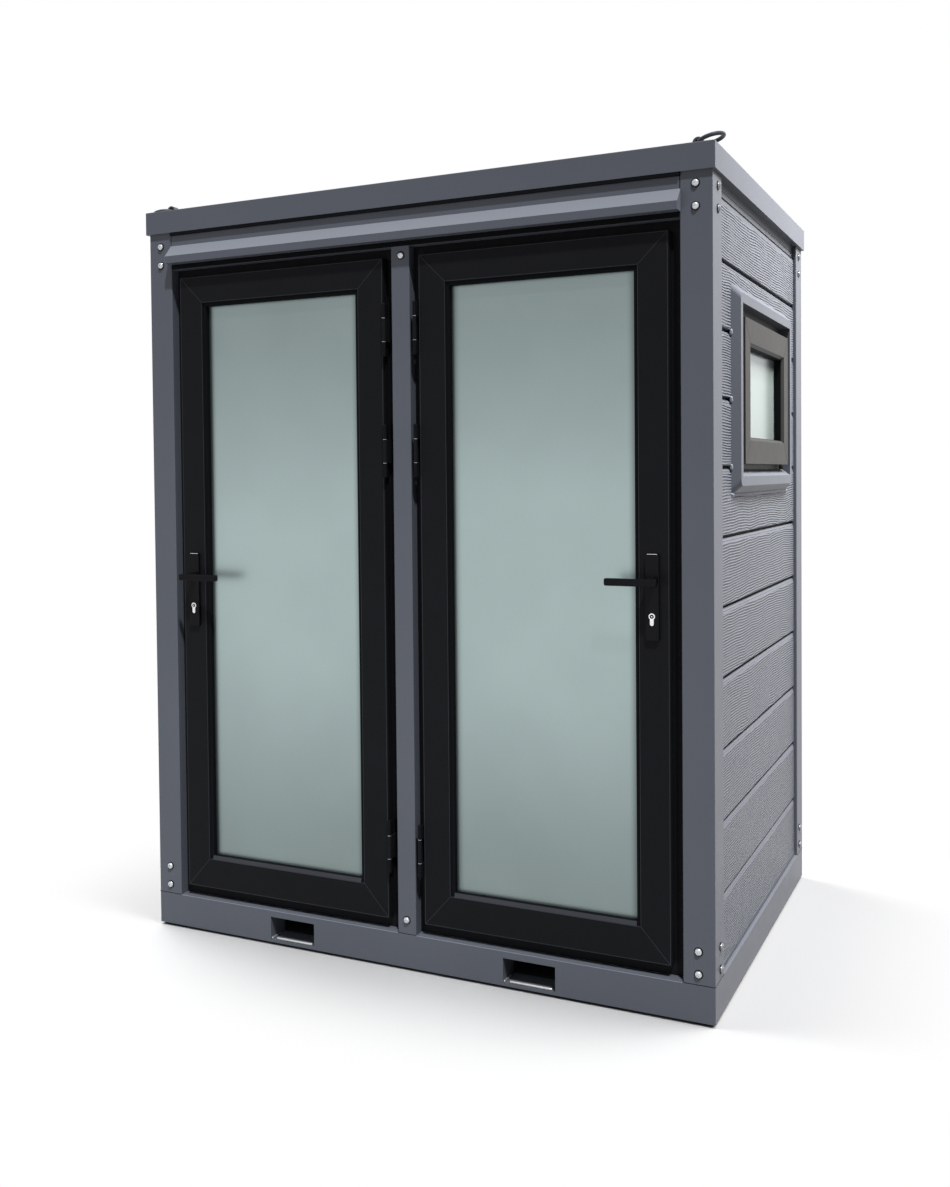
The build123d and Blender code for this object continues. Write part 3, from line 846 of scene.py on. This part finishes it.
def make_door_seals(name):
    """Seals round a door's pane on both faces, its sash joints and edge lines drawn pale as painted
    highlights, and the ledge below the pane.
    """
    sash_low, sash_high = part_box(f"{name}_door_sash")
    pane_low, pane_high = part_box(f"{name}_door_pane")
    low = (pane_low.x, pane_low.z)
    high = (pane_high.x, pane_high.z)
    bm = bmesh.new()
    lean = SASH_BEAD * DOOR_GASKET_RISE / (pane_low.y - sash_low.y)
    seal = gasket_profile(DOOR_GASKET_RISE, lean)
    swept_frame(bm, front_place(pane_low.y), low, high, seal)
    swept_frame(bm, front_place(pane_high.y, 1), low, high, seal)
    make_piece(f"{name}_door_seals", bm, (rubber,), f"{name}_door", sharp_angle=50)

    outer_low = (sash_low.x + SASH_EDGE, sash_low.z + SASH_EDGE)
    outer_high = (sash_high.x - SASH_EDGE, sash_high.z - SASH_EDGE)
    inner_low = (low[0] - SASH_BEAD, low[1] - SASH_BEAD)
    inner_high = (high[0] + SASH_BEAD, high[1] + SASH_BEAD)
    bm = bmesh.new()
    # Painted highlights: pale lines along the bead's inner edge, the sash's outer edge and its mitre
    # joints
    inner_highlight = [(0.0, 0.0), (0.0, MITRE_RISE), (-BEAD_HIGHLIGHT, MITRE_RISE), (-BEAD_HIGHLIGHT, 0.0)]
    outer_highlight = [(0.0, 0.0), (0.0, MITRE_RISE), (BEAD_HIGHLIGHT, MITRE_RISE), (BEAD_HIGHLIGHT, 0.0)]
    for place in (front_place(sash_low.y), front_place(sash_high.y, 1)):
        mitre_bars(bm, place, outer_low, outer_high, inner_low, inner_high)
        swept_frame(bm, place, inner_low, inner_high, inner_highlight)
        swept_frame(bm, place, outer_low, outer_high, outer_highlight)
    make_piece(f"{name}_sash_mitres", bm, (mitre_highlight_grey,), f"{name}_door")

    # Lighter grey ledge that sheds water at the foot of the pane
    bm = bmesh.new()
    seal_front = pane_low.y - DOOR_GASKET_RISE
    ledge = [(seal_front, low[1]), (seal_front, low[1] + GASKET), (sash_low.y, low[1] - LEDGE_DROP),
             (sash_low.y + GASKET, low[1] - LEDGE_DROP)]
    prism(bm, ledge, lambda y, z, x: Vector((x, y, z)), low[0] + GASKET, high[0] - GASKET)
    make_piece(f"{name}_glazing_ledge", bm, (ledge_grey,), f"{name}_door")


def make_plate_glints(name):
    """Painted highlight: a bright glint along the top edge of each handle plate."""
    low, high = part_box(f"{name}_handle_plates")
    bm = bmesh.new()
    for y in (low.y + PLATE_GLINT, high.y - PLATE_GLINT):
        height = high.z - PLATE_GLINT
        start = Vector((low.x + PLATE_EDGE_INSET, y, height))
        end = Vector((high.x - PLATE_EDGE_INSET, y, height))
        rod(bm, start, end, PLATE_GLINT, segments=12)
    make_piece(f"{name}_plate_glints", bm, (plated,), f"{name}_door", sharp_angle=60)


def make_hinge_trims(name, sign):
    """Domed pin heads on each hinge barrel, and the washers between its knuckles."""
    low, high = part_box(f"{name}_door_hinges")
    axis_x = (low.x if sign > 0 else high.x) + sign * HINGE_RADIUS
    axis_y = low.y + HINGE_RADIUS
    top_centre = high.z - HINGE_LENGTH / 2
    up = Vector((0, 0, 1))
    squat = HINGE_CAP_RISE / HINGE_RADIUS
    dome = reversed(dome_points(HINGE_RADIUS))
    cap = [(reach, HINGE_CAP_RISE - rise * squat) for reach, rise in dome]
    washer = [(WASHER_RADIUS, 0.0), (WASHER_RADIUS, WASHER_HEIGHT)]
    caps = bmesh.new()
    washers = bmesh.new()
    for centre in (low.z + HINGE_LENGTH / 2, top_centre - HINGE_STEP, top_centre):
        for way in (-1, 1):
            end = Vector((axis_x, axis_y, centre + way * HINGE_LENGTH / 2))
            lathe(caps, end, way * up, cap, segments=16)
            seat = Vector((axis_x, axis_y, centre + way * HINGE_KNUCKLE))
            lathe(washers, seat, way * up, washer, segments=16)
    make_piece(f"{name}_hinge_caps", caps, (hinge_black,), f"{name}_door", sharp_angle=50)
    make_piece(f"{name}_hinge_washers", washers, (zinc,), f"{name}_door", sharp_angle=50)


def button_profile(radius, rise, crown_share):
    """Flat round head with a chamfered rim, as (radius, height) pairs."""
    return [(radius, 0.0), (radius, BUTTON_SIDE_SHARE * rise), (crown_share * radius, rise)]


def make_lock_plug(name):
    """Dark plug, painted shade for the keyway and the gap round it, with its bright key face on both ends
    of a lock cylinder.
    """
    low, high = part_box(f"{name}_lock_cylinder")
    middle = (low.x + high.x) / 2
    barrel = high.z - BARREL_RADIUS
    plug = button_profile(PLUG_RADIUS, PLUG_RISE, PLUG_CROWN_SHARE)
    face = button_profile(KEY_FACE_RADIUS, KEY_FACE_RISE, KEY_CROWN_SHARE)
    plugs = bmesh.new()
    faces = bmesh.new()
    for y, sign in ((low.y, -1), (high.y, 1)):
        lathe(plugs, Vector((middle, y, barrel)), Vector((0, sign, 0)), plug)
        lathe(faces, Vector((middle, y, barrel)), Vector((0, sign, 0)), face)
    make_piece(f"{name}_lock_plugs", plugs, (rubber,), f"{name}_door", sharp_angle=40)
    make_piece(f"{name}_key_faces", faces, (plated,), f"{name}_door", sharp_angle=40)


def make_sill_plates():
    """Plates on the base in front of the doors, and a painted highlight along the edge below them."""
    inner = MULLION_HALF + SILL_CLEARANCE
    outer = POST_INNER - SILL_CLEARANCE
    near = FRONT + SILL_CLEARANCE
    plates = bmesh.new()
    edges = bmesh.new()
    for start, end in ((-outer, -inner), (inner, outer)):
        pillow(plates, lambda x, y, z: Vector((x, y, z)), (start, near), (end, near + SILL_DEPTH),
               SILL_CORNER, BASE_TOP, BASE_TOP + SILL_RISE, SILL_EDGE)
        # Painted highlight: a pale strip along the base's top front edge
        edge_highlight = rectangle(start, BASE_TOP - SILL_HIGHLIGHT_HEIGHT, end, BASE_TOP)
        prism(edges, edge_highlight, front_place(FRONT), 0.0, MITRE_RISE)
    make_piece("sill_plates", plates, (paint,), "cabin", sharp_angle=40)
    make_piece("sill_edge_highlights", edges, (sealant_and_highlight,), "cabin")


def make_frame_joints():
    """Fine dark joints of the posts and the lintel, a dark seal under the roof cap that is partly painted
    shade, and painted shade on the lintel under the canopy.
    """
    bm = bmesh.new()
    half = JOINT_WIDTH / 2
    along = sorted((POST_BACK, FRONT))
    for sign in (-1, 1):
        across = sorted((sign * POST_INNER, sign * SIDE))
        foot = rectangle(across[0], BASE_TOP - half, across[1], BASE_TOP + half)
        for y, facing in ((FRONT, -1), (REAR, 1)):
            prism(bm, foot, front_place(y, facing), 0.0, MITRE_RISE)
        for start, end in ((along[0], along[1]), (-along[1], -along[0])):
            side = rectangle(start, BASE_TOP - half, end, BASE_TOP + half)
            prism(bm, side, side_place(sign * SIDE, sign), 0.0, MITRE_RISE)
        edge = sign * POST_INNER
        beside = rectangle(edge - half, CANOPY_TOP, edge + half, ROOF_BOTTOM)
        prism(bm, beside, front_place(FRONT), 0.0, MITRE_RISE)
    middle = rectangle(-MULLION_HALF, BASE_TOP - half, MULLION_HALF, BASE_TOP + half)
    prism(bm, middle, front_place(FRONT), 0.0, MITRE_RISE)
    # Dark seal under the roof cap: a real seal that casts shade, whose dark face is also painted shade on
    # the lintel
    cap_seal_and_shade = rectangle(-POST_INNER, ROOF_BOTTOM - CAP_SEAL_HEIGHT, POST_INNER, ROOF_BOTTOM)
    prism(bm, cap_seal_and_shade, front_place(FRONT), 0.0, CAP_SEAL_REACH)
    # Painted shade: a thin black sheet on the lintel where the canopy shades it
    head_painted_shade = rectangle(-POST_INNER, LINTEL_BOTTOM, POST_INNER, CANOPY_BOTTOM)
    prism(bm, head_painted_shade, front_place(FRONT), 0.0, HEAD_SHADE_RISE)
    make_piece("frame_joints", bm, (rubber,), "cabin")


# Window dressing

def make_window_trims():
    """Sloping sills, pane seals with a black lining that is painted shade, sash joints, and pale caulk
    beads below the trim and at its grooves, those at the grooves partly painted highlight.
    """
    sills = bmesh.new()
    seals = bmesh.new()
    joints = bmesh.new()
    beads = bmesh.new()
    for name, sign in SIDES:
        frame_low, frame_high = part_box(f"{name}_window_frame")
        pane_low, pane_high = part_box(f"{name}_window_pane")
        trim_low, trim_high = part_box(f"{name}_window_trim")
        trim_face = trim_high.x if sign > 0 else trim_low.x
        wall_face = trim_low.x if sign > 0 else trim_high.x
        sash_face = frame_high.x if sign > 0 else frame_low.x
        pane_face = pane_high.x if sign > 0 else pane_low.x

        bottom = frame_low.z
        slope = [(0.0, bottom), (-WINDOW_SILL_DEPTH, bottom),
                 (-WINDOW_SILL_DEPTH, bottom + WINDOW_SILL_RISE)]
        prism(sills, slope, lambda out, z, y: Vector((trim_face + sign * out, y, z)),
              frame_low.y, frame_high.y)

        low = (pane_low.y, pane_low.z)
        high = (pane_high.y, pane_high.z)
        seal = gasket_profile(GASKET, WINDOW_SEAL_LEAN)
        swept_frame(seals, side_place(pane_face, sign), low, high, seal)
        # Painted shade: a black lining on the deep part of the bead, where the reveal is shaded
        liner_shade = rectangle(0.0, 0.0, LINER_THICKNESS, LINER_RISE)
        swept_frame(seals, side_place(pane_face, sign), low, high, liner_shade)

        outer = WINDOW_FRAME_FACE + SASH_EDGE
        inner = WINDOW_FRAME_FACE + WINDOW_SASH_FACE - SASH_BEAD
        corners = []
        for inset in (outer, inner):
            corners.append((frame_low.y + inset, frame_low.z + inset))
            corners.append((frame_high.y - inset, frame_high.z - inset))
        mitre_bars(joints, side_place(sash_face, sign), *corners)

        start = Vector((wall_face, trim_low.y, trim_low.z))
        end = Vector((wall_face, trim_high.y, trim_low.z))
        rod(beads, start, end, SEALANT_RADIUS, segments=12)
        # Beads where the grooves meet the trim: caulk that also stands in for painted highlights
        for row in range(GROOVE_COUNT):
            height = groove_height(row)
            if trim_low.z < height < trim_high.z:
                for y in (trim_low.y, trim_high.y):
                    lower = Vector((wall_face, y, height - GROOVE_GAP))
                    upper = lower + Vector((0, 0, 2 * GROOVE_GAP))
                    rod(beads, lower, upper, SEALANT_RADIUS, segments=12)
    make_piece("window_sills", sills, (paint,), "cabin")
    make_piece("window_seals", seals, (rubber,), "cabin", sharp_angle=50)
    make_piece("window_joints", joints, (mitre_dark,), "cabin")
    make_piece("trim_sealant", beads, (sealant_and_highlight,), "cabin", sharp_angle=60)


# Fork pockets

def make_pocket_lips():
    """Worn round lip at the foot of each pocket's mouth, and the bead in its corner."""
    low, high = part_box("fork_pockets")
    half = POCKET_WIDTH / 2
    bottom = low.z + POCKET_WALL
    bm = bmesh.new()
    for centre in (low.x + POCKET_WALL + half, high.x - POCKET_WALL - half):
        for face, inward in ((FRONT, 1), (REAR, -1)):
            lip_y = face + inward * LIP_SETBACK
            start = Vector((centre - half + LIP_INSETS[0], lip_y, bottom + LIP_RADIUS))
            end = Vector((centre + half - LIP_INSETS[1], lip_y, bottom + LIP_RADIUS))
            rod(bm, start, end, LIP_RADIUS)
            corner = Vector((centre - half + CORNER_BEAD_RADIUS, face + inward * CORNER_BEAD_SETBACK,
                             bottom + CORNER_BEAD_RADIUS))
            rod(bm, corner, corner + Vector((0, inward * CORNER_BEAD_LENGTH, 0)), CORNER_BEAD_RADIUS)
    make_piece("pocket_lips", bm, (worn_steel,), "cabin", sharp_angle=60)


make_walls()
make_wall_trims()
make_bolts()
for door_name, door_sign in SIDES:
    make_door_seals(door_name)
    make_hinge_trims(door_name, door_sign)
    make_plate_glints(door_name)
    make_lock_plug(door_name)
make_sill_plates()
make_frame_joints()
make_window_trims()
make_pocket_lips()
dress_nodes()


# Stage: floor, light and camera

FLOOR_RADIUS = 40.0
FLOOR_TONE = 0.80
FLOOR_BOUNCE = 0.22
FADE_START = 0.10
FADE_END = 0.70
SUN_ANGLE = math.radians(3.0)
NEUTRAL = (1.0, 1.0, 1.0)
COOL = (0.92, 0.96, 1.0)
WARM = (1.0, 0.985, 0.945)
WHITE = (1.0, 1.0, 1.0, 1.0)
SKY = (0.94, 0.97, 1.0, 1.0)
SKY_STRENGTH = 0.12


def footprint_distance(tree):
    """Distance of a point on the floor from the cabin's footprint."""
    split = add_node(tree, "ShaderNodeSeparateXYZ", None, {0: object_place(tree)})
    beyond = []
    for axis, half in (("X", SIDE), ("Y", REAR)):
        over = math_node(tree, "SUBTRACT", math_node(tree, "ABSOLUTE", split.outputs[axis]), half)
        over = math_node(tree, "MAXIMUM", over, 0.0)
        beyond.append(math_node(tree, "POWER", over, 2.0))
    return math_node(tree, "SQRT", math_node(tree, "ADD", beyond[0], beyond[1]))


def seen_directly(tree):
    """One for rays from the camera, mirrors and glass, zero for diffuse light."""
    path = add_node(tree, "ShaderNodeLightPath")
    seen = math_node(tree, "MAXIMUM", path.outputs["Is Camera Ray"], path.outputs["Is Glossy Ray"])
    return math_node(tree, "MAXIMUM", seen, path.outputs["Is Transmission Ray"])


def make_floor():
    """Pale floor that keeps the shadow near the cabin and fades to white away from it."""
    bm = bmesh.new()
    bmesh.ops.create_circle(bm, cap_ends=True, radius=FLOOR_RADIUS, segments=64)
    mesh = bpy.data.meshes.new("floor")
    bm.to_mesh(mesh)
    bm.free()
    floor = bpy.data.objects.new("floor", mesh)
    bpy.context.collection.objects.link(floor)
    material, tree, shader = new_material("floor", Roughness=0.9, Specular_IOR_Level=0.0)
    seen = seen_directly(tree)
    tone = smooth_range(tree, seen, 0.0, 1.0, FLOOR_BOUNCE, FLOOR_TONE)
    tree.links.new(tone, shader.inputs["Base Color"])
    white = add_node(tree, "ShaderNodeEmission", None, {"Color": WHITE, "Strength": 1.0})
    faded = smooth_range(tree, footprint_distance(tree), FADE_START, FADE_END)
    share = math_node(tree, "MULTIPLY", faded, seen)
    mixed = add_node(tree, "ShaderNodeMixShader", None,
                     {0: share, 1: shader.outputs[0], 2: white.outputs[0]})
    tree.links.new(mixed.outputs[0], tree.nodes["Material Output"].inputs["Surface"])
    mesh.materials.append(material)
    return floor


def make_world():
    """Soft light all round; the background itself shows white."""
    world = bpy.data.worlds.new("studio")
    bpy.context.scene.world = world
    world.use_nodes = True
    tree = world.node_tree
    soft = tree.nodes["Background"]
    soft.inputs["Color"].default_value = SKY
    soft.inputs["Strength"].default_value = SKY_STRENGTH
    white = add_node(tree, "ShaderNodeBackground", None, {"Color": WHITE, "Strength": 1.0})
    mixed = add_node(tree, "ShaderNodeMixShader", None,
                     {0: seen_directly(tree), 1: soft.outputs[0], 2: white.outputs[0]})
    tree.links.new(mixed.outputs[0], tree.nodes["World Output"].inputs["Surface"])


def hang_light(light, place, direction, floor, on_floor):
    """Place a light that shines either on the floor or on all but the floor."""
    holder = bpy.data.objects.new(light.name, light)
    holder.location = place
    holder.rotation_euler = Vector(direction).to_track_quat("-Z", "Y").to_euler()
    bpy.context.collection.objects.link(holder)
    receivers = bpy.data.collections.new(f"{light.name}_receivers")
    receivers.objects.link(floor)
    receivers.collection_objects[0].light_linking.link_state = "INCLUDE" if on_floor else "EXCLUDE"
    holder.light_linking.receiver_collection = receivers
    return holder


def make_sun(name, direction, strength, floor, colour):
    """Even light from far away that draws the shadows on the cabin."""
    sun = bpy.data.lights.new(name, "SUN")
    sun.energy = strength
    sun.angle = SUN_ANGLE
    sun.color = colour
    hang_light(sun, (0, 0, 0), direction, floor, False)


def make_lamp(name, place, target, size, watts, floor, colour=NEUTRAL, on_floor=False):
    """Square soft lamp that looks at a target and leaves no highlights of its own."""
    lamp = bpy.data.lights.new(name, "AREA")
    lamp.size = size
    lamp.energy = watts
    lamp.color = colour
    holder = hang_light(lamp, place, Vector(target) - Vector(place), floor, on_floor)
    holder.visible_glossy = False


def make_camera():
    """Camera at the photograph's view."""
    data = bpy.data.cameras.new("photo_camera")
    data.sensor_fit = "AUTO"
    data.sensor_width = SENSOR
    data.lens = FOCAL_PIXELS * SENSOR / PHOTO_HEIGHT
    data.shift_x = (PHOTO_WIDTH / 2 - CENTRE_PIXEL[0]) / PHOTO_HEIGHT
    data.shift_y = (CENTRE_PIXEL[1] - PHOTO_HEIGHT / 2) / PHOTO_HEIGHT
    forward = Vector((
        -math.cos(CAMERA_PITCH) * math.sin(CAMERA_AZIMUTH),
        math.cos(CAMERA_PITCH) * math.cos(CAMERA_AZIMUTH),
        -math.sin(CAMERA_PITCH),
    ))
    level = Vector((math.cos(CAMERA_AZIMUTH), math.sin(CAMERA_AZIMUTH), 0.0))
    upright = level.cross(forward)
    right = math.cos(CAMERA_ROLL) * level + math.sin(CAMERA_ROLL) * upright
    up = -math.sin(CAMERA_ROLL) * level + math.cos(CAMERA_ROLL) * upright
    camera = bpy.data.objects.new("photo_camera", data)
    rotation = Matrix((right, up, -forward)).transposed()
    camera.matrix_world = Matrix.LocRotScale(CAMERA_PLACE, rotation, None)
    bpy.context.collection.objects.link(camera)
    bpy.context.scene.camera = camera


studio_floor = make_floor()
make_world()
make_sun("key", direction=(-0.30, 0.38, -0.875), strength=2.9, floor=studio_floor, colour=COOL)
make_lamp("right_fill", place=(2.3, 0.9, 4.2), target=(0.9, 0.0, 1.4), size=0.9, watts=345.0,
          floor=studio_floor, colour=WARM)
make_lamp("left_fill", place=(-3.2, 2.2, 3.4), target=(-0.9, 0.3, 1.2), size=1.2, watts=220.0,
          floor=studio_floor)
make_lamp("front_fill", place=(-0.45, -2.9, 0.5), target=(-0.2, -0.7, 0.8), size=1.6, watts=21.0,
          floor=studio_floor, colour=COOL)
for lamp_side, lamp_sign in SIDES:
    make_lamp(f"floor_{lamp_side}", place=(lamp_sign * 4.0, 0.2, 6.0), target=(0.0, -0.5, 0.0), size=6.0,
              watts=590.0, floor=studio_floor, on_floor=True)
make_camera()
bpy.context.scene.view_settings.view_transform = "Standard"
